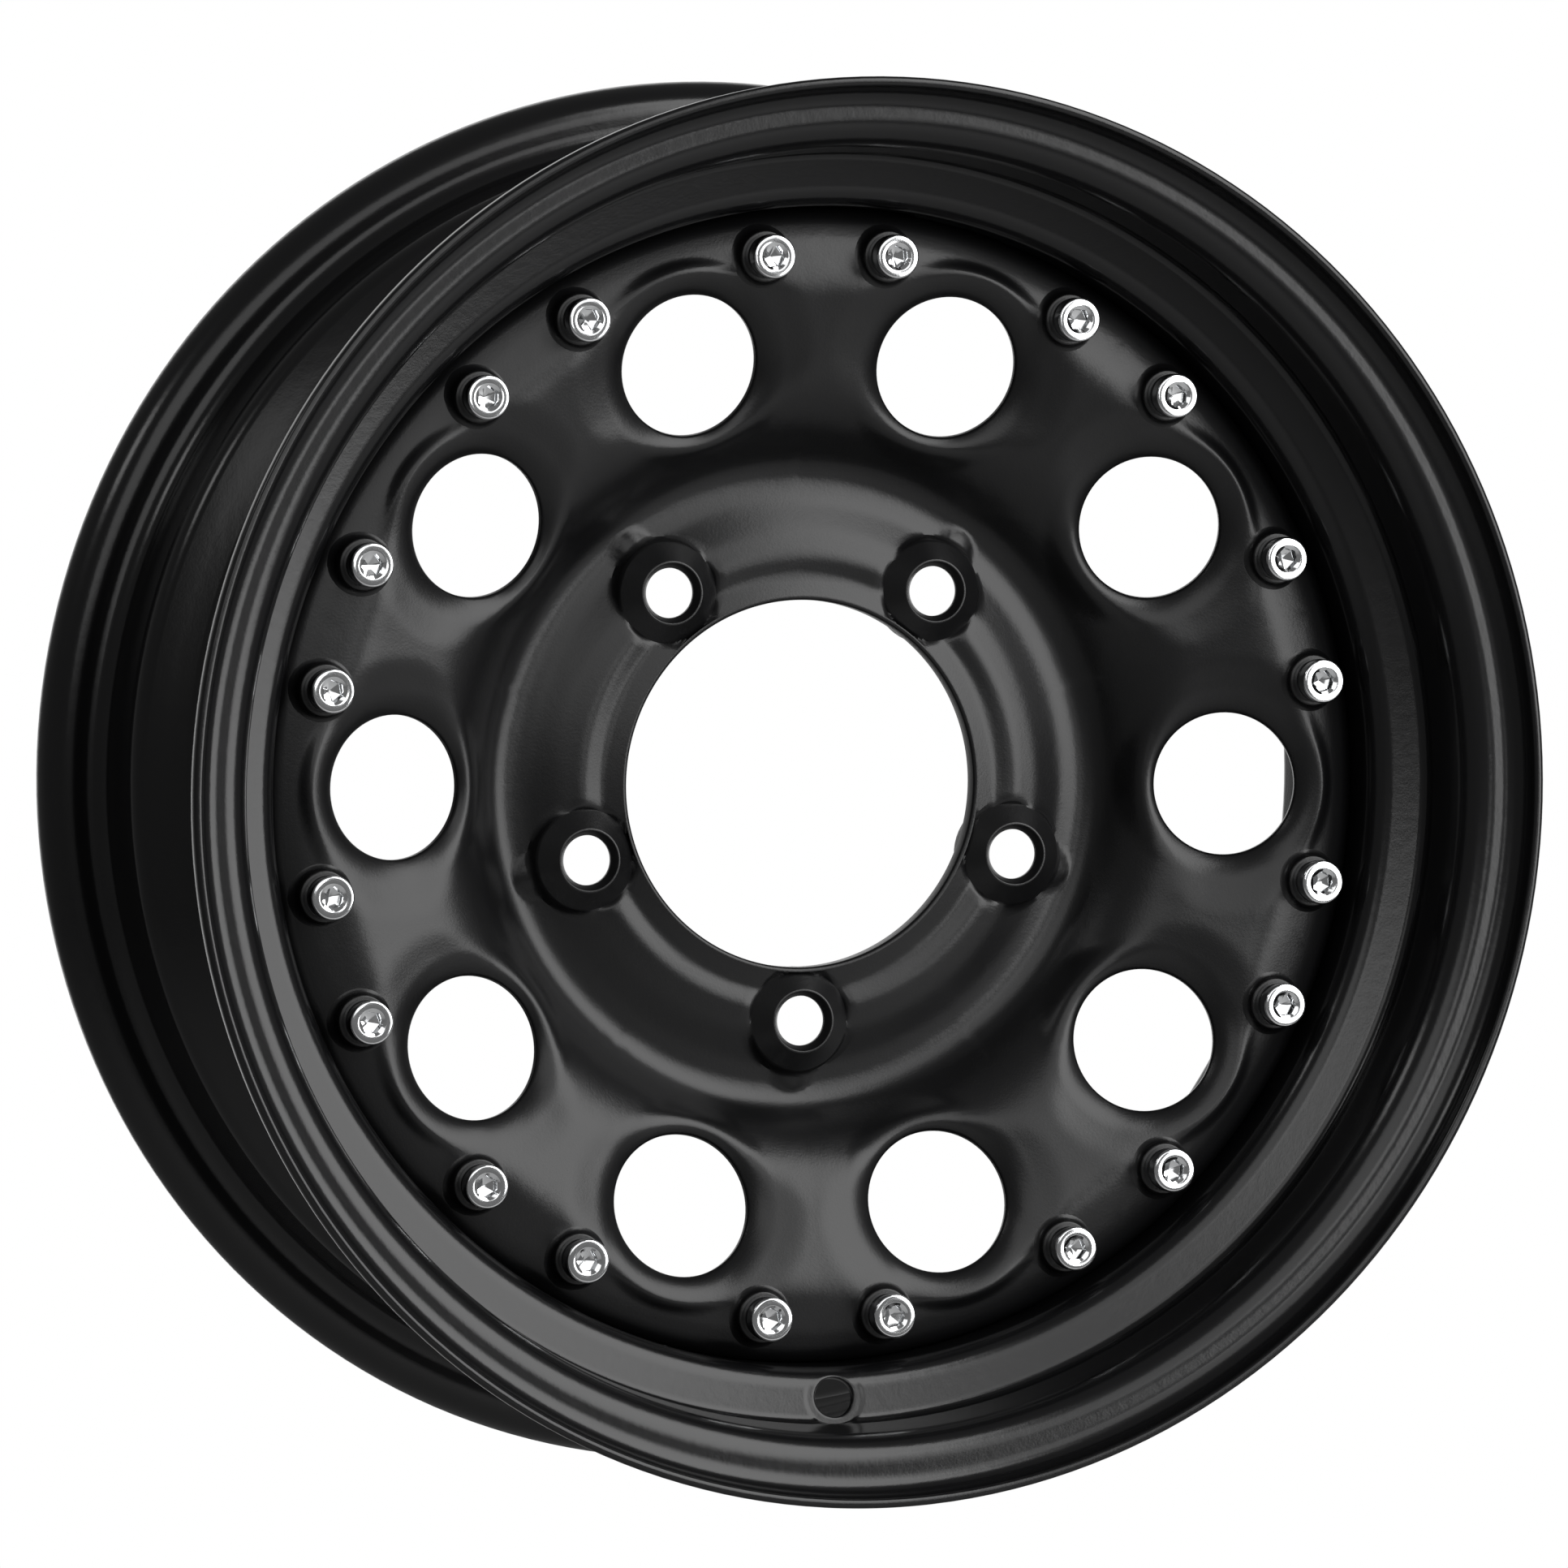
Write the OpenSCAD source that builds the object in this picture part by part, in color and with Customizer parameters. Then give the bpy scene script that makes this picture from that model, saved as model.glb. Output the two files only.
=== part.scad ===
// Steel wheel, 5.5 x 15 inch, with a rolled drop-centre rim, a pressed disc with ten
// round hand holes, five raised nut seats and twenty socket-head screws in pairs.
// The wheel turns about Y, its outer face looks along -Y and the valve hole is at the bottom.

/* [Rim] */
// Width between the two tyre flanges
rim_w = 139.7; // [130:0.1:190]
// Diameter of the tyre seat at the foot of the flange
seat_d = 380.2; // [370:0.1:392]
// Thickness of the rolled rim strip
rim_t = 2.8; // [2.2:0.1:3.4]
// Height of the flange above the tyre seat
flange_h = 17.3; // [15:0.1:19]
// Width of the rolled flange from its inner face to its edge
flange_w = 12; // [11:0.1:14]
// Radius of the flange curl on the tyre side
flange_r = 9.5; // [8:0.1:10]
// Radius in the corner between seat and flange
heel_r = 6.5; // [5:0.1:7]
// Width of each tyre seat
seat_w = 19.8; // [18:0.1:21]
// Taper of the tyre seat in degrees
seat_taper = 5; // [4:0.5:6]
// Rise of the safety hump above the end of the seat
hump_h = 1.4; // [0.8:0.1:2]
// Distance from the end of the seat to the top of the well side
hump_w = 8.8; // [7.5:0.1:11]
// Depth of the well below the tyre seat
well_depth = 17.3; // [15:0.1:18]
// Width that the outer side of the well takes
well_outer_slope_w = 3; // [1:0.1:8]
// Width that the inner side of the well takes
well_inner_slope_w = 8.2; // [3:0.1:16]
// Radius at the top of both well sides
well_top_r = 6; // [5:0.1:7]
// Radius at the bottom of both well sides
well_floor_r = 4.5; // [3.5:0.1:6]
// Radius on the edges of the rolled strip
lip_r = 0.9; // [0.3:0.1:1.1]

/* [Disc] */
// Thickness of the disc plate
disc_t = 4.5; // [3.5:0.1:5.5]
// Distance of the mounting face from the middle of the rim, towards the outer face
offset = 0; // [-8:0.5:4]
// Outer diameter of the flat ring around the hub area
hub_flat_d = 193; // [188:1:196]
// Foot diameter of the raised hub ring
hub_ring_d = 179; // [176:1:182]
// Crest height of the hub ring over the flat ring
hub_ring_h = 7.6; // [5:0.1:9]
// Height of the valley between hub ring and bore, over the flat ring
hub_valley_h = 3.8; // [3:0.1:5]
// Diameter of that valley
hub_valley_d = 123; // [121:0.5:126]
// Height of the flared bore edge over the flat ring
bore_edge_h = 6; // [5:0.1:8]
// Width of the steep side of the bowl
bowl_side_w = 12; // [10:0.5:15]
// Height of the knee at its top over the flat ring
bowl_knee_h = 17.8; // [16:0.1:19]
// Distance from the disc's edge to the crown, the highest ring of the bowl
crown_inset = 20.9; // [16:0.1:24]
// Height of the crown over the flat ring
crown_h = 26.9; // [25:0.1:28]
// Drop from the crown to the corner of the disc flange
crown_drop = 3.9; // [3:0.1:5]
// Outside radius where the disc turns into its flange
disc_edge_r = 8; // [6:0.1:9]
// Distance from the mounting face to the inner edge of the disc flange
flange_end_h = 3; // [0:0.5:6]
// Clearance between the disc flange and the rim
disc_fit = 0.1; // [0.05:0.05:0.2]

/* [Hub and bolts] */
// Diameter of the hub bore
bore_d = 108.3; // [104:0.1:110]
// Number of wheel bolts
bolt_count = 5; // [5:1:6]
// Diameter of the bolt circle
bolt_circle_d = 139.7; // [138:0.1:142]
// Diameter of each bolt hole
bolt_hole_d = 14.7; // [13:0.1:15]
// Diameter of the cone seat at its mouth
nut_seat_d = 17.8; // [17:0.1:19]
// Included angle of the cone seat
nut_seat_angle = 60; // [55:5:90]
// Height of the straight part of the hole under the cone seat
bolt_land_h = 1.4; // [1:0.1:3]
// Width of the flat land around the cone seat
nut_land_w = 0.5; // [0.3:0.1:1]
// Base diameter of the raised nut boss
nut_boss_d = 31; // [28:0.5:33]
// Height of the nut boss over the flat ring
nut_boss_h = 9.8; // [8.5:0.1:11]
// Diameter of the small dome beside each nut boss
ear_d = 10.8; // [8:0.1:12]
// Rise of that dome over the foot of the hub ring
ear_h = 3.2; // [2:0.1:4]

/* [Hand holes] */
// Number of hand holes
hole_count = 10; // [8:1:10]
// Distance from the disc's edge to each hand hole
hole_outer_margin = 20.5; // [19:0.1:25]
// Distance from the flat ring to each hand hole
hole_inner_margin = 11.3; // [10:0.1:16]
// Tilt of the hole axes towards the wheel axis
hole_tilt = 12; // [10:1:18]
// Depth of the plane of each hole's edge under the face of the bowl
hole_sink = 0.9; // [0.5:0.1:3]
// Width of the steep flare inside that edge
flare_w = 3.4; // [2:0.1:4]
// Depth of the steep flare
flare_h = 3.3; // [2:0.1:5]
// Slope of the shallow dish around the edge, in degrees
dish_slope = 15; // [8:1:20]

/* [Screws] */
// Number of screw pairs
pair_count = 10; // [8:1:10]
// Angle between the two screws of a pair
pair_angle = 14; // [12:0.5:16]
// Distance from the disc's edge to the screws
screw_inset = 13.5; // [12:0.1:15]
// Nominal diameter of the screw thread
screw_d = 8; // [6:0.5:8]
// Diameter of the screw head
head_d = 13; // [11:0.1:13.5]
// Height of the screw head
head_h = 8; // [6:0.1:9]
// Length of the screw under its head
screw_len = 12; // [10:0.5:14]
// Width across the flats of the hexagon socket
socket_w = 6; // [4:0.1:6.5]
// Depth of the hexagon socket
socket_depth = 4; // [3:0.1:5]
// Bevel on the edges of the head
head_bevel = 0.6; // [0.3:0.1:0.8]
// Diameter of the collar that is drawn up from the disc under each head
collar_d = 15.4; // [14:0.1:16]
// Height of the head's seat over the flat ring
collar_h = 29.4; // [28:0.1:32]
// Bevel on the top edge of the collar
collar_bevel = 0.5; // [0.2:0.1:1]
// Width of the sloped foot of the collar
collar_foot_w = 2.4; // [1:0.1:3]
// Radial clearance of the screw in its collar
screw_fit = 0.1; // [0.05:0.05:0.2]

/* [Valve] */
// Diameter of the valve hole
valve_d = 11.7; // [11:0.1:12]
// Diameter of the flat pressed around the valve hole
valve_pad_d = 17.6; // [16:0.2:20]
// Depth of that flat under the face of the well side
valve_pad_sink = 0.2; // [0.1:0.1:0.5]
// Height of the valve hole up the outer well side, from the well floor
valve_h = 6.2; // [5.8:0.1:7]

/* [Welds] */
// Number of weld seams between disc and rim
weld_count = 8; // [4:1:12]
// Length of each seam along the rim, in degrees
weld_arc = 26; // [10:1:28]
// Leg of the fillet weld
weld_leg = 4; // [2.5:0.1:4.5]

/* [Hidden] */
$fn = 96;
arc_step = 12;
over = 1;
paint = "#1b1b1c";
chrome = "#d9dbdd";

seat_r = seat_d / 2;
crest_r = seat_r + flange_h;
seat_end_r = seat_r - seat_w * tan(seat_taper);
well_r = seat_r - well_depth;
well_inside_r = well_r - rim_t;
disc_r = well_inside_r - disc_fit;
flat_u = offset + disc_t;
well_top_u = rim_w / 2 - seat_w - hump_w;
well_outer_u = well_top_u - well_outer_slope_w;
well_inner_u = -well_top_u + well_inner_slope_w;
bowl_knee_r = hub_flat_d / 2 + bowl_side_w;
crown_r = disc_r - crown_inset;
hole_r = (disc_r - hub_flat_d / 2 - hole_outer_margin - hole_inner_margin) / 2;
hole_circle_r = hub_flat_d / 2 + hole_inner_margin + hole_r;
head_seat_u = flat_u + collar_h;
bolt_r = bolt_circle_d / 2;
boss_top_u = flat_u + nut_boss_h;
screw_r = disc_r - screw_inset;
tap_r = screw_d / 2 + screw_fit;

// A path is a list of [x, y, corner radius]. These helpers turn it into a closed outline.
function xy(p) = [p[0], p[1]];
function unit(v) = v / norm(v);
function left(v) = [-v[1], v[0]];
function turn(a, b, c) = cross(xy(b) - xy(a), xy(c) - xy(b));
function half_turn(a, b, c) =
    let (d1 = unit(xy(b) - xy(a)), d2 = unit(xy(c) - xy(b))) acos(min(1, max(-1, d1 * d2))) / 2;

// The corner b between a and c, rounded with its own radius
function corner(a, b, c) =
    let (h = half_turn(a, b, c), side = sign(turn(a, b, c)))
    b[2] <= 0 || h < 0.5 ? [xy(b)] :
    let (
        d1 = unit(xy(b) - xy(a)),
        start = xy(b) - d1 * b[2] * tan(h),
        centre = start + left(d1) * side * b[2],
        n = max(1, ceil(2 * h / arc_step)),
        spoke = start - centre)
    [for (i = [0 : n])
        let (t = side * 2 * h * i / n)
        centre + [spoke[0] * cos(t) - spoke[1] * sin(t), spoke[0] * sin(t) + spoke[1] * cos(t)]];

function rounded(path) =
    let (n = len(path))
    [for (i = [0 : n - 1]) each corner(path[(i + n - 1) % n], path[i], path[(i + 1) % n])];

// The other face of a sheet: the path moved to its right by t, with matching corner radii
function shifted(path, t) =
    let (n = len(path))
    [for (i = [0 : n - 1])
        let (
            d1 = unit(xy(path[max(i, 1)]) - xy(path[max(i, 1) - 1])),
            d2 = unit(xy(path[min(i + 1, n - 1)]) - xy(path[min(i + 1, n - 1) - 1])),
            n1 = -left(d1),
            n2 = -left(d2),
            p = xy(path[i]) + t * (n1 + n2) / (1 + n1 * n2),
            side = cross(d1, d2))
        [p[0], p[1], path[i][2] <= 0 ? 0 : path[i][2] + (side > 0 ? t : -t)]];

function reversed(path) = [for (i = [len(path) - 1 : -1 : 0]) path[i]];

function with_end_radius(path, r) =
    [for (i = [0 : len(path) - 1])
        i == 0 || i == len(path) - 1 ? [path[i][0], path[i][1], r] : path[i]];

function sheet(path, t, end_r = 0) =
    rounded(concat(with_end_radius(path, end_r), reversed(with_end_radius(shifted(path, t), end_r))));

// Height of an open path over a radius, between its corners
function height_at(path, r) =
    [for (i = [0 : len(path) - 2])
        if (r >= path[i][0] && r < path[i + 1][0])
            path[i][1] + (path[i + 1][1] - path[i][1]) * (r - path[i][0]) / (path[i + 1][0] - path[i][0])][0];

// Tyre side of the rim in [radius, height], from the inner edge to the outer one
rim_side = [
    [crest_r, -rim_w / 2 - flange_w, 0],
    [crest_r, -rim_w / 2, flange_r],
    [seat_r, -rim_w / 2, heel_r],
    [seat_end_r, -rim_w / 2 + seat_w, well_top_r],
    [seat_end_r + hump_h, -well_top_u, well_top_r],
    [well_r, well_inner_u, well_floor_r],
    [well_r, well_outer_u, well_floor_r],
    [seat_end_r + hump_h, well_top_u, well_top_r],
    [seat_end_r, rim_w / 2 - seat_w, well_top_r],
    [seat_r, rim_w / 2, heel_r],
    [crest_r, rim_w / 2, flange_r],
    [crest_r, rim_w / 2 + flange_w, 0]];

// Outer face of the disc in [radius, height], from inside the bore to the end of its flange
bore_slope = (bore_edge_h - hub_valley_h) / (hub_valley_d - bore_d);
disc_front = [
    [bore_d / 2 - over, flat_u + bore_edge_h + over * bore_slope * 2, 0],
    [hub_valley_d / 2, flat_u + hub_valley_h, 6],
    [bolt_r, flat_u + hub_ring_h, 9],
    [hub_ring_d / 2, flat_u, 4],
    [hub_flat_d / 2, flat_u, 7],
    [bowl_knee_r, flat_u + bowl_knee_h, 25],
    [crown_r, flat_u + crown_h, 40],
    [disc_r, flat_u + crown_h - crown_drop, disc_edge_r],
    [disc_r, offset + flange_end_h, 0]];
hole_u = height_at(disc_front, hole_circle_r) - hole_sink;

// Places a piece that is drawn around the wheel axis, with its height towards the outer face
module on_wheel() rotate([90, 0, 0]) children();

// Clockwise from the top, seen from the outer face
module around(angle) rotate([0, 0, 90 - angle]) children();

module revolve(path) rotate_extrude() polygon(path);

module at_hole(i)
    around((i + 0.5) * 360 / hole_count)
        translate([hole_circle_r, 0, hole_u])
            children();

// The plate turned down around a hand hole, which stands out behind the bowl
module hole_collar()
    rotate([0, -hole_tilt, 0]) revolve([
        [hole_r - over, -disc_t / 3],
        [hole_r + flare_w + disc_t, -disc_t / 3],
        [hole_r + flare_w + disc_t, -disc_t * 2 / 3],
        [hole_r + flare_w, -flare_h - disc_t * 0.7],
        [hole_r - over, -flare_h]]);

// The space just behind the steep side of the bowl, where those collars may stand
module behind_bowl_side()
    revolve([
        [hub_flat_d / 2 + over, flat_u],
        [bowl_knee_r + over, flat_u + bowl_knee_h],
        [disc_r, flat_u + bowl_knee_h + over],
        [disc_r, flat_u]]);

// The pierced hole, the steep flare around it and the shallow dish around that
module hole_cut() {
    dish_w = 3 * disc_t;
    rotate([0, -hole_tilt, 0])
        revolve([
            [0, -4 * disc_t],
            [hole_r, -4 * disc_t],
            [hole_r, -flare_h],
            [hole_r + flare_w, 0],
            [hole_r + flare_w + dish_w, dish_w * tan(dish_slope)],
            [hole_r + flare_w + dish_w, 3 * disc_t],
            [0, 3 * disc_t]]);
}

module at_bolt(i)
    around((i + 0.5) * 360 / bolt_count)
        translate([bolt_r, 0, 0])
            children();

// The raised boss under a wheel nut: a dome that runs out on the hub ring
module nut_boss()
    revolve([
        [0, flat_u],
        [0, boss_top_u],
        [nut_seat_d / 2 + nut_land_w, boss_top_u],
        [nut_boss_d / 2 - 2.6, boss_top_u - 1.7],
        [nut_boss_d / 2 - 0.7, boss_top_u - 4],
        [nut_boss_d / 2, flat_u]]);

// The bolt hole with its cone seat, and the hollow under the boss
module nut_hole() {
    seat_depth = (nut_seat_d - bolt_hole_d) / 2 / tan(nut_seat_angle / 2);
    hollow_h = boss_top_u - seat_depth - bolt_land_h - offset;
    revolve([
        [0, offset - over],
        [nut_boss_d / 2 - disc_t / 2, offset - over],
        [nut_boss_d / 2 - disc_t / 2, offset],
        [bolt_hole_d / 2 + nut_land_w, offset + hollow_h],
        [bolt_hole_d / 2, offset + hollow_h],
        [bolt_hole_d / 2, boss_top_u - seat_depth],
        [nut_seat_d / 2, boss_top_u],
        [nut_seat_d / 2, boss_top_u + over],
        [0, boss_top_u + over]]);
}

module ear()
    translate([hub_ring_d / 2 - bolt_r - ear_d / 4, 0, flat_u - disc_t / 4])
        intersection() {
            cylinder(h = ear_h + disc_t / 4, d = ear_d);
            translate([0, 0, ear_h + disc_t / 4 - ear_d])
                sphere(r = ear_d);
        }

function screw_angle(i) = floor(i / 2) * 360 / pair_count + (i % 2 - 0.5) * pair_angle;

module at_screw(i) around(screw_angle(i)) translate([screw_r, 0, head_seat_u]) children();

// The collar that carries a screw, drawn from the plate
module collar() {
    stand = head_seat_u - height_at(disc_front, screw_r);
    r = collar_d / 2;
    revolve([
        [0, -stand - disc_t / 2],
        [0, 0],
        [r - collar_bevel, 0],
        [r, -collar_bevel],
        [r, -stand + collar_foot_w / 2],
        [r + collar_foot_w, -stand - collar_foot_w / 2],
        [r + collar_foot_w, -stand - disc_t / 2]]);
}

// Frame on the tyre side of the outer well side, at the valve hole, looking outwards
module at_valve() {
    slope = atan(well_outer_slope_w / (seat_end_r + hump_h - well_r));
    around(180)
        translate([well_r + valve_h, 0, well_outer_u + valve_h * tan(slope)])
            rotate([0, -slope, 0])
                children();
}

module rim() {
    color(paint)
        on_wheel()
            difference() {
                revolve(sheet(rim_side, -rim_t, lip_r));
                at_valve() {
                    translate([0, 0, -2 * rim_t])
                        cylinder(h = 5 * rim_t, d = valve_d);
                    translate([0, 0, rim_t - valve_pad_sink])
                        cylinder(h = 2 * rim_t, d = valve_pad_d);
                }
            }
}

module disc() {
    color(paint)
        on_wheel()
            difference() {
                union() {
                    revolve(sheet(disc_front, disc_t));
                    intersection() {
                        union() {
                            for (i = [0 : hole_count - 1]) at_hole(i) hole_collar();
                        }
                        behind_bowl_side();
                    }
                    for (i = [0 : bolt_count - 1]) at_bolt(i) {
                        nut_boss();
                        ear();
                    }
                    for (i = [0 : 2 * pair_count - 1]) at_screw(i) collar();
                }
                for (i = [0 : hole_count - 1]) at_hole(i) hole_cut();
                for (i = [0 : bolt_count - 1]) at_bolt(i) nut_hole();
                for (i = [0 : 2 * pair_count - 1])
                    at_screw(i)
                        translate([0, 0, -screw_len - 2 * over])
                            cylinder(h = screw_len + 3 * over, r = tap_r);
                translate([0, 0, offset - over])
                    cylinder(h = boss_top_u, d = bore_d);
            }
}

// One fillet weld between the inner edge of the disc flange and the well floor
module weld(i) {
    color(paint)
        on_wheel()
            around(i * 360 / weld_count)
                rotate([0, 0, -weld_arc / 2])
                    rotate_extrude(angle = weld_arc)
                        polygon(rounded([
                            [well_inside_r, offset + flange_end_h, 0],
                            [well_inside_r - weld_leg, offset + flange_end_h, 0],
                            [well_inside_r - weld_leg * 0.6, offset + flange_end_h - weld_leg * 0.6, 2],
                            [well_inside_r, offset + flange_end_h - weld_leg, 0]]));
}

module screw(i) {
    hex_corner = socket_w / cos(30) / 2;
    bevel = hex_corner + 0.5;
    color(chrome)
        on_wheel()
            at_screw(i)
                difference() {
                    union() {
                        revolve(rounded([
                            [0, 0, 0],
                            [head_d / 2, 0, 0],
                            [head_d / 2, head_h, head_bevel],
                            [0, head_h, 0]]));
                        translate([0, 0, -screw_len])
                            cylinder(h = screw_len + over, d = screw_d);
                    }
                    translate([0, 0, head_h - socket_depth])
                        cylinder(h = socket_depth + over, r = hex_corner, $fn = 6);
                    translate([0, 0, head_h - 0.5])
                        cylinder(h = 0.5, r1 = hex_corner, r2 = bevel);
                }
}

rim();
disc();
for (i = [0 : weld_count - 1])
    weld(i);
for (i = [0 : 2 * pair_count - 1])
    screw(i);
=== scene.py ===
import math

import bmesh
import bpy
import numpy as np
from mathutils import Matrix, Vector


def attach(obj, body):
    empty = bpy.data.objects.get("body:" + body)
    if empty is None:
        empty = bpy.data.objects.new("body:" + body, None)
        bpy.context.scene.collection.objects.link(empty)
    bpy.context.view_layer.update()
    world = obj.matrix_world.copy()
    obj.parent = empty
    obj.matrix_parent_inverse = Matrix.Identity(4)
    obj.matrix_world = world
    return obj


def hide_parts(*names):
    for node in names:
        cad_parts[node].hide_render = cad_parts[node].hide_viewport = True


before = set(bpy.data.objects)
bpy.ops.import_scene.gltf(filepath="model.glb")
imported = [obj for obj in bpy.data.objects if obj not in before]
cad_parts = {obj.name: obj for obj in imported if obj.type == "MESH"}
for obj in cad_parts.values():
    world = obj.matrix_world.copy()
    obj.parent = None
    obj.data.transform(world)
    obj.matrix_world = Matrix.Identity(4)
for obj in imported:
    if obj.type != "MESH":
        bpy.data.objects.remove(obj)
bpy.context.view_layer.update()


# Materials
# Black powder coat in a satin and a glossier batch, with the fine orange peel of the
# coating as bump, and polished chrome for the screws.
def orange_peel():
    """Node group: grain and slow waves of a powder coat as one bumped normal."""
    group = bpy.data.node_groups.new("orange_peel", "ShaderNodeTree")
    group.interface.new_socket("Grain", in_out="INPUT", socket_type="NodeSocketFloat")
    group.interface.new_socket("Normal", in_out="OUTPUT", socket_type="NodeSocketVector")
    nodes, links = group.nodes, group.links
    inside = nodes.new("NodeGroupInput")
    outside = nodes.new("NodeGroupOutput")
    place = nodes.new("ShaderNodeTexCoord")
    grain = nodes.new("ShaderNodeTexNoise")
    grain.inputs["Scale"].default_value = 1400
    grain.inputs["Detail"].default_value = 2
    waves = nodes.new("ShaderNodeTexNoise")
    waves.inputs["Scale"].default_value = 260
    waves.inputs["Detail"].default_value = 1
    fine = nodes.new("ShaderNodeBump")
    fine.inputs["Distance"].default_value = 0.00006
    slow = nodes.new("ShaderNodeBump")
    slow.inputs["Strength"].default_value = 0.25
    slow.inputs["Distance"].default_value = 0.0001
    links.new(place.outputs["Object"], grain.inputs["Vector"])
    links.new(place.outputs["Object"], waves.inputs["Vector"])
    links.new(inside.outputs["Grain"], fine.inputs["Strength"])
    links.new(grain.outputs["Fac"], fine.inputs["Height"])
    links.new(waves.outputs["Fac"], slow.inputs["Height"])
    links.new(fine.outputs["Normal"], slow.inputs["Normal"])
    links.new(slow.outputs["Normal"], outside.inputs["Normal"])
    return group


def material(name, color, roughness, metallic=0.0, grain=0.0, peel=None):
    """A plain finish, or with the coating's bump when the node group is given."""
    mat = bpy.data.materials.new(name)
    mat.use_nodes = True
    shader = mat.node_tree.nodes["Principled BSDF"]
    shader.inputs["Base Color"].default_value = (*color, 1)
    shader.inputs["Roughness"].default_value = roughness
    shader.inputs["Metallic"].default_value = metallic
    if peel:
        coat = mat.node_tree.nodes.new("ShaderNodeGroup")
        coat.node_tree = peel
        coat.inputs["Grain"].default_value = grain
        mat.node_tree.links.new(coat.outputs["Normal"], shader.inputs["Normal"])
    return mat


peel = orange_peel()
disc_coat = material("disc_coat", (0.005, 0.005, 0.0054), 0.3, grain=0.5, peel=peel)
rim_coat = material("rim_coat", (0.005, 0.005, 0.0054), 0.2, grain=0.25, peel=peel)
weld_coat = material("weld_coat", (0.007, 0.007, 0.0075), 0.3, grain=0.4, peel=peel)
plating = material("plating", (0.86, 0.87, 0.88), 0.09, metallic=1.0)


# Rim
# The rolled strip: one closed section with true fillets, laid round the axis with finer
# steps at the valve hole, where the grid is drawn into rings around the hole.
def arc_path(corners, step=5.0):
    """Points of an open path through (x, y, fillet) corners; arcs turn by a step in degrees."""
    points = []
    for i, (x, y, fillet) in enumerate(corners):
        here = np.array((x, y))
        if fillet == 0 or i in (0, len(corners) - 1):
            points.append(here)
            continue
        ahead = np.array(corners[i + 1][:2]) - here
        behind = here - np.array(corners[i - 1][:2])
        ahead, behind = ahead / np.linalg.norm(ahead), behind / np.linalg.norm(behind)
        turn = math.atan2(behind[0] * ahead[1] - behind[1] * ahead[0], behind @ ahead)
        start = here - behind * fillet * math.tan(abs(turn) / 2)
        centre = start + np.array((-behind[1], behind[0])) * math.copysign(fillet, turn)
        spoke = start - centre
        count = max(2, math.ceil(abs(math.degrees(turn)) / step))
        for k in range(count + 1):
            c, s = math.cos(turn * k / count), math.sin(turn * k / count)
            points.append(centre + (c * spoke[0] - s * spoke[1], s * spoke[0] + c * spoke[1]))
    return np.array(points)


def offset_path(points, distance):
    """The path moved sideways, to its left, by a distance."""
    along = np.gradient(points, axis=0)
    along /= np.linalg.norm(along, axis=1)[:, None]
    return points + distance * np.column_stack((-along[:, 1], along[:, 0]))


def refined(points, longest):
    """The path with long straight parts cut into steps."""
    out = [points[0]]
    for a, b in zip(points[:-1], points[1:]):
        count = max(1, math.ceil(np.linalg.norm(b - a) / longest))
        out += [a + (b - a) * k / count for k in range(1, count + 1)]
    return np.array(out)


def on_wheel(radius, angle, height):
    """Point in metres of a place on the wheel, angle in degrees clockwise from the top."""
    a = math.radians(angle)
    return Vector((radius * math.sin(a), -height, radius * math.cos(a))) / 1000


def add_grid(bm, columns, rows, place):
    """A grid of faces whose corner (i, j) lies at place(i, j). Returns its corners by (i, j)."""
    made = bmesh.ops.create_grid(bm, x_segments=columns, y_segments=rows, size=1)["verts"]
    corners = {}
    for v in made:
        i = round((v.co.x + 1) / 2 * columns)
        j = round((v.co.y + 1) / 2 * rows)
        corners[i, j] = v
        v.co = place(i, j)
    return corners


def finish_piece(bm, name, mat, sharp=None):
    """Makes the object, shaded smooth, with its finish and its place on the wheel."""
    bmesh.ops.remove_doubles(bm, verts=bm.verts, dist=1e-5)
    bmesh.ops.recalc_face_normals(bm, faces=bm.faces)
    mesh = bpy.data.meshes.new(name)
    bm.to_mesh(mesh)
    bm.free()
    mesh.shade_smooth()
    if sharp:
        mesh.set_sharp_from_angle(angle=math.radians(sharp))
    mesh.materials.append(mat)
    piece = bpy.data.objects.new(name, mesh)
    bpy.context.scene.collection.objects.link(piece)
    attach(piece, "root")
    return piece


rim_t = 2.8
half_w = 69.85
lip_u = half_w + 10.95
seat_r, crest_r, well_r = 190.1, 207.4, 172.8
hump_r, hump_u = 189.77, 41.25
seat_end_r, seat_end_u = 188.37, 50.05
tyre_side = refined(arc_path([
    (crest_r, -lip_u, 0),
    (crest_r, -half_w, 9.5),
    (seat_r, -half_w, 6.5),
    (seat_end_r, -seat_end_u, 6),
    (hump_r, -hump_u, 6),
    (well_r, -33.05, 4.5),
    (well_r, 38.25, 4.5),
    (hump_r, hump_u, 6),
    (seat_end_r, seat_end_u, 6),
    (seat_r, half_w, 6.5),
    (crest_r, half_w, 9.5),
    (crest_r, lip_u, 0)], 6), 6)
near_valve = (tyre_side[:, 1] > 30) & (tyre_side[:, 1] < 43)
first, last = np.flatnonzero(near_valve)[[0, -1]]
tyre_side = np.vstack((
    tyre_side[:first], refined(tyre_side[first:last], 0.5), tyre_side[last:]))
air_side = offset_path(tyre_side, rim_t)
edge = rim_t / 2
front_lip = [
    tyre_side[-1] + edge * np.array((math.sin(t) - 1, 0.75 * math.cos(t)))
    for t in np.linspace(math.pi / 2, -math.pi / 2, 9)[1:-1]]
rear_lip = [p * (1, -1) for p in front_lip[::-1]]
section = np.vstack((tyre_side, front_lip, air_side[::-1], rear_lip, tyre_side[:1]))

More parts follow.
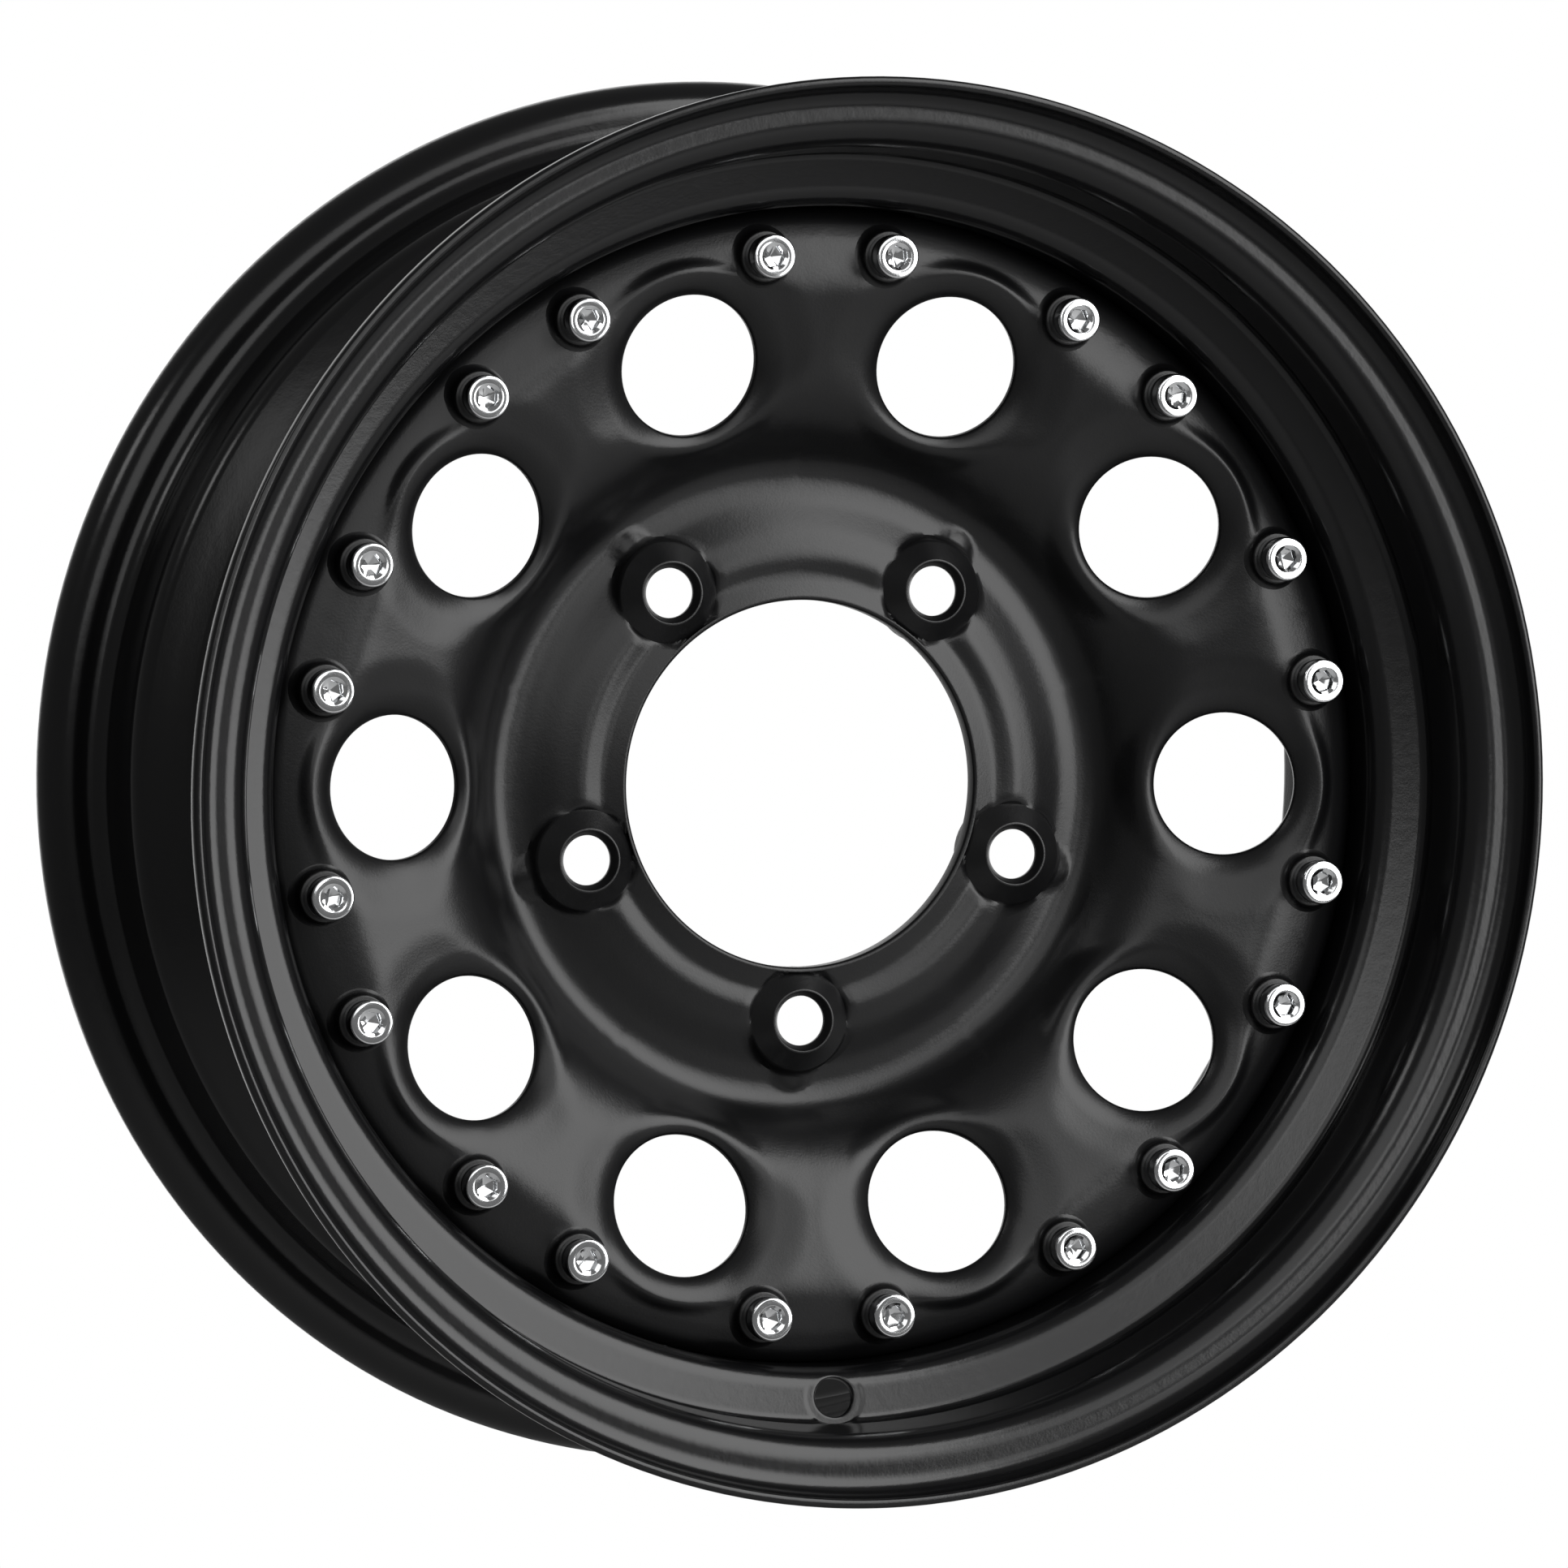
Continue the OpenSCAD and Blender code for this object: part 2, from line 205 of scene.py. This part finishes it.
# The valve hole stands at the bottom (180 degrees). Inside the window the grid turns into
# rings, and its core is cut out for the hole. The outer side has a flat pad round the hole.
valve_r, pad_r, pad_fade, pad_t = 5.85, 9.2, 0.7, 0.12
entry_w, entry_t = 0.9, 0.6
valve_slope = math.atan2(3, 17)
window = 12.0
core = 3.0
fine_span = 4.5
angles = np.concatenate((
    np.linspace(180 - fine_span, 180 + fine_span, 57)[:-1],
    np.linspace(180 + fine_span, 540 - fine_span, 201)))
valve_normal = np.array((-math.sin(valve_slope), math.cos(valve_slope)))
valve_at = np.array((179.0, 39.35))
lengths = np.concatenate(([0], np.cumsum(np.linalg.norm(np.diff(section, axis=0), axis=1))))
sides = []
for side, count in ((tyre_side, 0), (air_side[::-1], len(tyre_side) + len(front_lip))):
    rows = [count + i for i, p in enumerate(side) if 170 < p[0] < 190 and 30 < p[1] < 46]
    target = valve_at if count == 0 else valve_at + rim_t * valve_normal
    middle = min(rows, key=lambda i: np.linalg.norm(section[i] - target))
    sides.append((min(rows), max(rows), lengths[middle], count > 0))


def rim_place(i, j):
    """Corner (i, j) of the rim's grid; near the valve hole the square grid turns into rings."""
    angle = angles[i]
    radius, height = section[j]
    across = math.radians(angle - 180) * valve_at[0]
    for low, high, centre, outer in sides:
        up = lengths[j] - centre
        if not (low <= j <= high and abs(across) < window and abs(up) < window):
            continue
        reach = max(abs(across), abs(up), 1e-9)
        share = np.clip((reach - core) / (window - core), -0.1, 1)
        if reach < 1e-6:
            return on_wheel(radius, angle, height)
        if abs(across) >= abs(up):
            turn = math.pi / 4 * (up / across)
            direction = np.array((math.cos(turn), math.sin(turn))) * math.copysign(1, across)
        else:
            turn = math.pi / 4 * (across / up)
            direction = np.array((math.sin(turn), math.cos(turn))) * math.copysign(1, up)
        ring = valve_r + max(share, 0) ** 1.3 * (window - valve_r)
        pull = max(share, 0) ** 2
        x = direction[0] * ring * (1 - pull) + across * pull
        y = direction[1] * ring * (1 - pull) + up * pull
        radius = np.interp(centre + y, lengths, section[:, 0])
        height = np.interp(centre + y, lengths, section[:, 1])
        point = np.array((radius, height))
        rise = (point - valve_at) @ valve_normal - (rim_t if outer else 0)
        distance = math.hypot(x, y)
        drop = 0.0
        if outer:
            drop = max(rise + pad_t, 0) * np.clip((pad_r - distance) / pad_fade, 0, 1)
        entry = np.clip((distance - valve_r) / entry_w, 0, 1)
        drop += entry_t * (1 - math.sqrt(1 - (1 - entry) ** 2)) * (1 if outer else -1)
        radius, height = point - valve_normal * drop
        return on_wheel(radius, 180 + math.degrees(x / valve_at[0]), height)
    return on_wheel(radius, angle, height)


bm = bmesh.new()
corners = add_grid(bm, len(angles) - 1, len(section) - 1, rim_place)
for low, high, centre, outer in sides:
    inner = [
        v for (i, j), v in corners.items()
        if low <= j <= high and abs(lengths[j] - centre) < core - 0.05
        and abs(math.radians(angles[i] - 180) * valve_at[0]) < core - 0.05]
    bmesh.ops.delete(bm, geom=inner, context="VERTS")
bmesh.ops.remove_doubles(bm, verts=bm.verts, dist=1e-5)
bmesh.ops.bridge_loops(bm, edges=[e for e in bm.edges if e.is_boundary])
rim = finish_piece(bm, "rolled_rim", rim_coat)
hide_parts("rim")


# Disc
# The pressed plate: plain rings for the hub's rear side and the outer edge, and fields of
# rings around the ten hand holes and the five bolt holes, all on the face's one section.
disc_t = 4.5
hole_circle, hole_u, tilt = 128.6, 25.9, math.radians(12)
inner_r, outer_r, half_field = 97.6, 161.5, 18.0
bore_r = 54.15
well_fit_r, flange_in_r, flange_end_u = 169.9, 165.4, 3

# A hand hole's lip: rolled in from lip_reach to roll_end, then a short wall at wall_reach.
# back_reach is where the plain rear side ends. The holes stand hole_shift clockwise.
lip_reach, roll_r, roll_end, wall_reach, back_reach = 29.2, 12.2, 21.5, 21.1, 30.6
hole_shift = 0.99
front = arc_path([
    (40, 15.87, 0),
    (61.6, 10.2, 3),
    (67.2, 11.4, 9),
    (74.5, 9.5, 18),
    (83.5, 5.4, 10),
    (88.2, 4.5, 4),
    (94, 4.5, 10),
    (108.8, 22.5, 42),
    (147.6, 31.6, 22),
    (160.5, 29.4, 30),
    (well_fit_r, 26.2, 8),
    (well_fit_r, flange_end_u, 0)], 4)
face = front[front[:, 0] < well_fit_r - 0.1]


def face_at(radius):
    """Height of the plain section's outer face."""
    return float(np.interp(radius, face[:, 0], face[:, 1]))


def lip_face(x, out):
    """A point of the outer face, from its place in the leaning plane of a hand hole."""
    reach = math.hypot(x, out)
    fall = roll_r - math.sqrt(roll_r ** 2 - max(lip_reach - reach, 0) ** 2)
    p = np.array((
        x + hole_shift,
        hole_circle + out * math.cos(tilt) + fall * math.sin(tilt),
        hole_u + out * math.sin(tilt) - fall * math.cos(tilt)))
    side = out / reach
    outward = np.clip((side - 0.45) / 0.4, 0, 1)
    inward = np.clip((-side - 0.2) / 0.6, 0, 1)
    fade_from = 22 + 6.5 * outward
    fade_width = 17 - 12.5 * outward - 8 * inward
    share = np.clip((reach - fade_from) / fade_width, 0, 1)
    level = hole_u + (p[1] - hole_circle) * math.tan(tilt)
    p[2] += (face_at(math.hypot(p[0], p[1])) - level) * share * share * (3 - 2 * share)
    return p


def lip_back(x, out):
    """The point one plate thickness behind lip_face."""
    d = 0.05
    across = lip_face(x + d, out) - lip_face(x - d, out)
    normal = np.cross(across, lip_face(x, out + d) - lip_face(x, out - d))
    return lip_face(x, out) - disc_t * normal / np.linalg.norm(normal)


def bowl(x, y):
    """Height of the outer face beside a hand hole, x along the rim and y from the axis."""
    return lip_face(x - hole_shift, (y - hole_circle) / math.cos(tilt))[2]


def tilted(reach, turn, rise):
    """A point in the frame of a hand hole, whose axis leans towards the wheel's axis."""
    out = reach * math.cos(turn)
    return np.array((
        reach * math.sin(turn) + hole_shift,
        hole_circle + out * math.cos(tilt) - rise * math.sin(tilt),
        hole_u + out * math.sin(tilt) + rise * math.cos(tilt)))


def field_border(count=(30, 18, 20, 18)):
    """Points round the edge of one field, and the angle at the hole that belongs to each."""
    a = math.radians(half_field)
    stops = [(outer_r, -a), (outer_r, a), (inner_r, a), (inner_r, -a), (outer_r, -a)]
    turns = [math.atan2(r * math.sin(t), r * math.cos(t) - hole_circle) for r, t in stops]
    turns[3] += 2 * math.pi
    turns[4] += 2 * math.pi
    points, at = [], []
    for k, steps in enumerate(count):
        for n in range(steps):
            s = n / steps
            radius = stops[k][0] + (stops[k + 1][0] - stops[k][0]) * s
            angle = stops[k][1] + (stops[k + 1][1] - stops[k][1]) * s
            points.append((radius * math.sin(angle), radius * math.cos(angle)))
            at.append(turns[k] + (turns[k + 1] - turns[k]) * s)
    return points + points[:1], at + [at[0] + 2 * math.pi]


border, border_turn = field_border()
spread = [(k / 24) ** 1.3 for k in range(25)]
back_spread = [(k / 7) ** 1.3 for k in range(8)]
edge_fall = roll_r - math.sqrt(roll_r ** 2 - (lip_reach - roll_end) ** 2)
flare = arc_path([
    (roll_end, -edge_fall, 0),
    (wall_reach, -edge_fall - 0.6, 0.5),
    (wall_reach, -edge_fall - 2.4, 0.4),
    (24.4, -edge_fall - 3.6, 0)], 15)[1:]
field = []
for (bx, by), turn in zip(border, border_turn):
    way = np.array((math.sin(turn), math.cos(turn)))
    end = np.array((bx - hole_shift, (by - hole_circle) / math.cos(tilt)))
    start, back_start = roll_end * way, back_reach * way
    column = [lip_face(*(start + (end - start) * s)) for s in reversed(spread)]
    column += [tilted(reach, turn, rise) for reach, rise in flare]
    back = [lip_back(*(back_start + (end - back_start) * s)) for s in back_spread]
    column += [column[-1] + (back[0] - column[-1]) * s for s in (0.33, 0.67)]
    field.append(column + back)


def plate_back(p):
    """The point one plate thickness behind a point of the plain section."""
    d = 0.05
    slope = (face_at(p[0] + d) - face_at(p[0] - d)) / (2 * d)
    return np.array(p) - disc_t * np.array((-slope, 1)) / math.hypot(slope, 1)


lip_end = bore_r + 1.3
hub_back = refined(face[(face[:, 0] > bore_r + 1) & (face[:, 0] < inner_r)], 1.4)
hub_back = np.vstack((hub_back, (inner_r, face_at(inner_r))))
hub_back = np.array([plate_back(p) for p in hub_back[::-1]])
hub_back = hub_back[hub_back[:, 0] > bore_r + 0.8]


def back_at(radius):
    """Height of the hub's rear side."""
    return float(np.interp(radius, hub_back[::-1, 0], hub_back[::-1, 1]))


bore_edge = arc_path([
    (*hub_back[-1], 0),
    (bore_r, back_at(bore_r), 0.5),
    (bore_r, face_at(bore_r), 1.1),
    (lip_end, face_at(lip_end), 0)], 15)[1:]
hub_section = np.vstack((hub_back, bore_edge))
rim_front = arc_path([
    (outer_r, face_at(outer_r), 0),
    (well_fit_r, 26.2, 8),
    (well_fit_r, flange_end_u, 0.6),
    (flange_in_r, flange_end_u, 0.6),
    (flange_in_r, 22.5, 3.5),
    (*plate_back((outer_r, face_at(outer_r))), 0)], 9)

# The bosses of the bolt holes: a cone from boss_r up to top_r, with a wall of wall_w
# down to the hub ring and a small dome on the side away from the axis.
bolt_circle, boss_top, boss_r, boss_foot = 69.85, 14.3, 14.9, 10.0
top_r, wall_w = 9.4, 1.6
dome_out, dome_r, dome_rise = 15.6, 5.9, 2.1


def hub_height(x, y):
    """Outer face near a bolt hole: the cone of the boss, its wall, and the small dome beside it."""
    base = face_at(math.hypot(x, y))
    reach = math.hypot(x, y - bolt_circle)
    dome = math.hypot(x, y - bolt_circle - dome_out) / dome_r
    if dome < 1:
        base += dome_rise * (1 - dome * dome) ** 0.75
    if reach >= boss_r + wall_w:
        return base
    cone = boss_foot + (boss_top - boss_foot) * np.clip((boss_r - reach) / (boss_r - top_r), 0, 1)
    share = np.clip((reach - boss_r) / wall_w, 0, 1)
    return cone + (base - cone) * (1 - (1 - share) ** 2)


# The walls of the bolt holes end in a skirt, which follows the hub's rear side where that
# is lower, and covers the edge of the round cut_r that is taken out of it.
bolt_hole_r, skirt_u, skirt_r = 7.35, 3.6, 15.65
skirt_from, skirt_gap, cut_r = 12.3, 0.04, 14.3
seat_section = arc_path([
    (top_r, boss_top, 0),
    (8.85, boss_top, 0.25),
    (bolt_hole_r, 11.74, 0.2),
    (bolt_hole_r, 10.35, 0.2),
    (8.3, 10.35, 0.4),
    (12.9, skirt_u, 0.3),
    (skirt_r, skirt_u, 0.3),
    (skirt_r, 7, 0)], 25)
rings = [16.5, 15.7, 15.25, boss_r, 14.5, 14.1, 13.2, 12.2, 11.2, 10.3, 9.8, 9.5]
hub_border = []
for from_stop, to_stop, steps in (
        ((inner_r, -36), (inner_r, 36), 40), ((inner_r, 36), (lip_end, 36), 20),
        ((lip_end, 36), (lip_end, -36), 40), ((lip_end, -36), (inner_r, -36), 20)):
    for n in range(steps):
        radius = from_stop[0] + (to_stop[0] - from_stop[0]) * n / steps
        angle = math.radians(from_stop[1] + (to_stop[1] - from_stop[1]) * n / steps)
        hub_border.append((radius * math.sin(angle), radius * math.cos(angle)))
hub_border.append(hub_border[0])
nut_field = []
for bx, by in hub_border:
    out = np.array((bx, by - bolt_circle))
    far = np.linalg.norm(out)
    way = out / far
    near = min(1.0, (far - top_r) / (rings[0] + 0.8 - top_r))
    column = []
    start = top_r + (rings[0] - top_r) * near
    for s in np.linspace(1, 0, 14)[:-1]:
        x, y = way * (start + (far - start) * s) + (0, bolt_circle)
        column.append((x, y, hub_height(x, y)))
    for reach in rings:
        x, y = way * (top_r + (reach - top_r) * near) + (0, bolt_circle)
        column.append((x, y, hub_height(x, y)))
    for reach, height in seat_section:
        x, y = way * reach + (0, bolt_circle)
        back = back_at(math.hypot(x, y))
        if reach > skirt_from:
            height += min(0, back - skirt_gap - skirt_u)
        column.append((x, y, height))
    column[-1] = (*column[-1][:2], back + 0.5)
    nut_field.append(column)


def cell_place(cell, middle):
    """Places the corners of a field around a hole at one of the places round the wheel."""
    def place(i, j):
        x, y, height = cell[i][j]
        return on_wheel(math.hypot(x, y), middle + math.degrees(math.atan2(x, y)), height)
    return place


def ring_place(path, columns):
    """Places the corners of a plain ring: the path laid round the axis."""
    return lambda i, j: on_wheel(path[j][0], i * 360 / columns, path[j][1])


bm = bmesh.new()
add_grid(bm, 200, len(hub_section) - 1, ring_place(hub_section, 200))
nut_angles = [36 + 72 * k for k in range(5)]
nut_axes = [on_wheel(bolt_circle, a, 0) for a in nut_angles]
open_back = []
for f in bm.faces:
    middle = f.calc_center_median()
    if min(math.hypot(middle.x - n.x, middle.z - n.z) for n in nut_axes) < cut_r / 1000:
        open_back.append(f)
bmesh.ops.delete(bm, geom=open_back, context="FACES")
for a in nut_angles:
    add_grid(bm, len(hub_border) - 1, len(nut_field[0]) - 1, cell_place(nut_field, a))
for k in range(10):
    add_grid(bm, len(border) - 1, len(field[0]) - 1, cell_place(field, half_field + 36 * k))
add_grid(bm, 300, len(rim_front) - 1, ring_place(rim_front, 300))
plate = finish_piece(bm, "pressed_disc", disc_coat, sharp=42)


# Collars
# The necks drawn from the plate under the screws, in pairs between the hand holes. Their
# tops are flat, their feet follow the bowl's face. They belong to the pressed disc.
screw_circle, seat_u = 156.4, 33.85
screw_angles = [36 * (k // 2) + (7 if k % 2 else -7) for k in range(20)]
collar_r, foot_w, foot_h, collar_steps = 7.7, 2.6, 1.7, 40
collar_section = arc_path([(4.2, 0, 0), (collar_r, 0, 0.7), (collar_r, -2, 0)], 15)
collar_foot = [
    (collar_r + foot_w * (1 - math.cos(t)), foot_h * (1 - math.sin(t)) - 0.1 * t)
    for t in np.linspace(0, math.pi / 2, 7)]


def over_face(angle, x, y):
    """Radius, angle and face height of a point x clockwise and y outwards of a screw's axis."""
    a = math.radians(angle)
    east = screw_circle * math.sin(a) + x * math.cos(a) + y * math.sin(a)
    north = screw_circle * math.cos(a) - x * math.sin(a) + y * math.cos(a)
    r, turn = math.hypot(east, north), math.degrees(math.atan2(east, north))
    near = math.radians(turn % 36 - 18)
    return r, turn, float(bowl(r * math.sin(near), r * math.cos(near)))


def collar_place(angle):
    """Places the corners of one collar."""
    def place(i, j):
        turn = 2 * math.pi * i / collar_steps
        if j < len(collar_section):
            reach, height = collar_section[j][0], seat_u + collar_section[j][1]
            r, a, _ = over_face(angle, reach * math.sin(turn), reach * math.cos(turn))
        else:
            reach, rise = collar_foot[j - len(collar_section)]
            r, a, height = over_face(angle, reach * math.sin(turn), reach * math.cos(turn))
            height += rise
        return on_wheel(r, a, height)
    return place


bm = bmesh.new()
for a in screw_angles:
    add_grid(bm, collar_steps, len(collar_section) + len(collar_foot) - 1, collar_place(a))
collars = finish_piece(bm, "screw_collars", disc_coat, sharp=60)
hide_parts("disc")


# Screws
# Chrome socket-head screws: bevelled head, rounded entry of the socket, a hexagon with
# a drilled cone at its bottom, and the end of the thread behind the plate.
screw_section = arc_path([
    (0.01, -12, 0),
    (3.3, -12, 0),
    (4, -11.3, 0),
    (4, 0, 0),
    (6.5, 0, 0.3),
    (6.5, 8, 0.75),
    (4.1, 8, 0.25),
    (3.45, 7.5, 0),
    (3.45, 4.2, 0.2),
    (0.01, 3.2, 0)], 20)
socket_from = max(k for k, p in enumerate(screw_section) if p[1] > 7.45)
socket_r, across_flats, screw_steps = 3.45, 6.0, 48


def screw_place(angle, spin):
    """Places the corners of one screw; the rows of its socket are drawn into a hexagon."""
    def place(i, j):
        reach, height = screw_section[j]
        turn = 2 * math.pi * i / screw_steps
        if j >= socket_from:
            off_flat = (turn + math.pi / 6) % (math.pi / 3) - math.pi / 6
            reach *= across_flats / 2 / socket_r / math.cos(off_flat)
        turn += spin
        r, a, _ = over_face(angle, reach * math.sin(turn), reach * math.cos(turn))
        return on_wheel(r, a, seat_u + height)
    return place


bm = bmesh.new()
for k, a in enumerate(screw_angles):
    add_grid(bm, screw_steps, len(screw_section) - 1, screw_place(a, k * 2.4))
screws = finish_piece(bm, "socket_screws", plating, sharp=35)
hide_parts(*[f"screw_{k}" for k in range(1, 21)])


# Welds
# Eight rippled fillet beads in the corner between the disc's flange and the rim's well.
# A bead is a quarter round of bead_r, swollen by the ripples and drawn in at its ends.
corner_r, corner_u = 170.05, 3.05
bead_r, ripple, ripples, half_bead = 3.4, 0.25, 22, 13
bead_steps, round_steps = 90, 10


def bead_place(middle):
    """Places the corners of one bead round its middle angle."""
    def place(i, j):
        along = i / bead_steps
        turn = math.pi / 2 * j / round_steps
        swell = bead_r + ripple * abs(math.sin(along * math.pi * ripples))
        swell *= 0.3 + 0.7 * math.sqrt(max(0.0, 1 - abs(2 * along - 1) ** 12))
        bulge = swell * (1 + 0.12 * math.sin(2 * turn))
        return on_wheel(
            corner_r - bulge * math.sin(turn),
            middle + half_bead * (2 * along - 1),
            corner_u - bulge * math.cos(turn))
    return place


bm = bmesh.new()
for k in range(8):
    add_grid(bm, bead_steps, round_steps, bead_place(45 * k))
beads = finish_piece(bm, "weld_beads", weld_coat)
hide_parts(*[f"weld_{k}" for k in range(1, 9)])


# Stage
# A large soft box on the right, a weaker one in front above the camera, and two small ones
# low in front and at the upper left for the glints, in a grey room with a white backdrop,
# over a pale floor.
wheel_turn = 19.4


def around_view(azimuth, elevation, distance=2.4):
    """A place around the wheel: azimuth from the camera's side, to the right, in degrees."""
    a, e = math.radians(azimuth - wheel_turn), math.radians(elevation)
    return Vector((math.sin(a) * math.cos(e), -math.cos(a) * math.cos(e), math.sin(e))) * distance


def soft_box(name, azimuth, elevation, size, radiance):
    """A rectangular lamp that faces the wheel; its power follows from its size and radiance."""
    data = bpy.data.lights.new(name, "AREA")
    data.shape = "RECTANGLE"
    data.size, data.size_y = size
    data.energy = radiance * math.pi * size[0] * size[1]
    lamp = bpy.data.objects.new(name, data)
    lamp.location = around_view(azimuth, elevation)
    lamp.rotation_euler = lamp.location.to_track_quat("Z", "Y").to_euler()
    bpy.context.scene.collection.objects.link(lamp)


soft_box("box_right", 57, 22, (1.55, 2.9), 3.5)
soft_box("box_front", 12, 21, (2.3, 1.2), 1.15)
soft_box("box_low", 25, 4, (0.42, 0.36), 2.9)
soft_box("strip_left", -58, 34, (0.6, 0.45), 3.2)

# The room is grey. The backdrop is white for the camera, and metal shows it where it hangs,
# behind the wheel.
world = bpy.data.worlds.new("studio")
bpy.context.scene.world = world
world.use_nodes = True
nodes, links = world.node_tree.nodes, world.node_tree.links
room = nodes["Background"]
room.inputs["Color"].default_value = (0.14, 0.14, 0.14, 1)
backdrop = nodes.new("ShaderNodeBackground")
backdrop.inputs["Color"].default_value = (1, 1, 1, 1)
path = nodes.new("ShaderNodeLightPath")
way = nodes.new("ShaderNodeTexCoord")
towards = nodes.new("ShaderNodeVectorMath")
towards.operation = "DOT_PRODUCT"
towards.inputs[1].default_value = -around_view(0, 0, 1)
links.new(way.outputs["Generated"], towards.inputs[0])
hung = nodes.new("ShaderNodeMapRange")
hung.inputs["From Min"].default_value = 0.75
hung.inputs["From Max"].default_value = 0.9
links.new(towards.outputs["Value"], hung.inputs["Value"])
mirrored = nodes.new("ShaderNodeMath")
mirrored.operation = "MAXIMUM"
links.new(path.outputs["Is Glossy Ray"], mirrored.inputs[0])
links.new(path.outputs["Is Transmission Ray"], mirrored.inputs[1])
behind_wheel = nodes.new("ShaderNodeMath")
behind_wheel.operation = "MULTIPLY"
links.new(mirrored.outputs["Value"], behind_wheel.inputs[0])
links.new(hung.outputs["Result"], behind_wheel.inputs[1])
shown = nodes.new("ShaderNodeMath")
shown.operation = "MAXIMUM"
links.new(path.outputs["Is Camera Ray"], shown.inputs[0])
links.new(behind_wheel.outputs["Value"], shown.inputs[1])
mix = nodes.new("ShaderNodeMixShader")
links.new(shown.outputs["Value"], mix.inputs["Fac"])
links.new(room.outputs["Background"], mix.inputs[1])
links.new(backdrop.outputs["Background"], mix.inputs[2])
links.new(mix.outputs["Shader"], nodes["World Output"].inputs["Surface"])

bm = bmesh.new()
bmesh.ops.create_grid(bm, x_segments=1, y_segments=1, size=3)
floor_mesh = bpy.data.meshes.new("floor")
bm.to_mesh(floor_mesh)
bm.free()
floor = bpy.data.objects.new("floor", floor_mesh)
floor.location.z = -0.9
floor_mesh.materials.append(material("floor_pale", (0.5, 0.5, 0.5), 0.9))
bpy.context.scene.collection.objects.link(floor)

# The camera of the photo, fitted to the outer flange: a long lens, rolled by a trace.
camera_data = bpy.data.cameras.new("camera")
camera_data.lens = 292.86
camera_data.sensor_width = 36
camera = bpy.data.objects.new("camera", camera_data)
right = Vector((0.94334, -0.33183, 0))
up = Vector((0.01459, 0.04148, 0.99904))
roll = math.radians(0.15)
c, s = math.cos(roll), math.sin(roll)
right, up = c * right + s * up, c * up - s * right
turned = Matrix((right, up, right.cross(up))).transposed().to_4x4()
camera.matrix_world = Matrix.Translation((-1.2499, -3.5497, 0.1651)) @ turned
bpy.context.scene.collection.objects.link(camera)
bpy.context.scene.camera = camera
bpy.context.scene.view_settings.view_transform = "Standard"
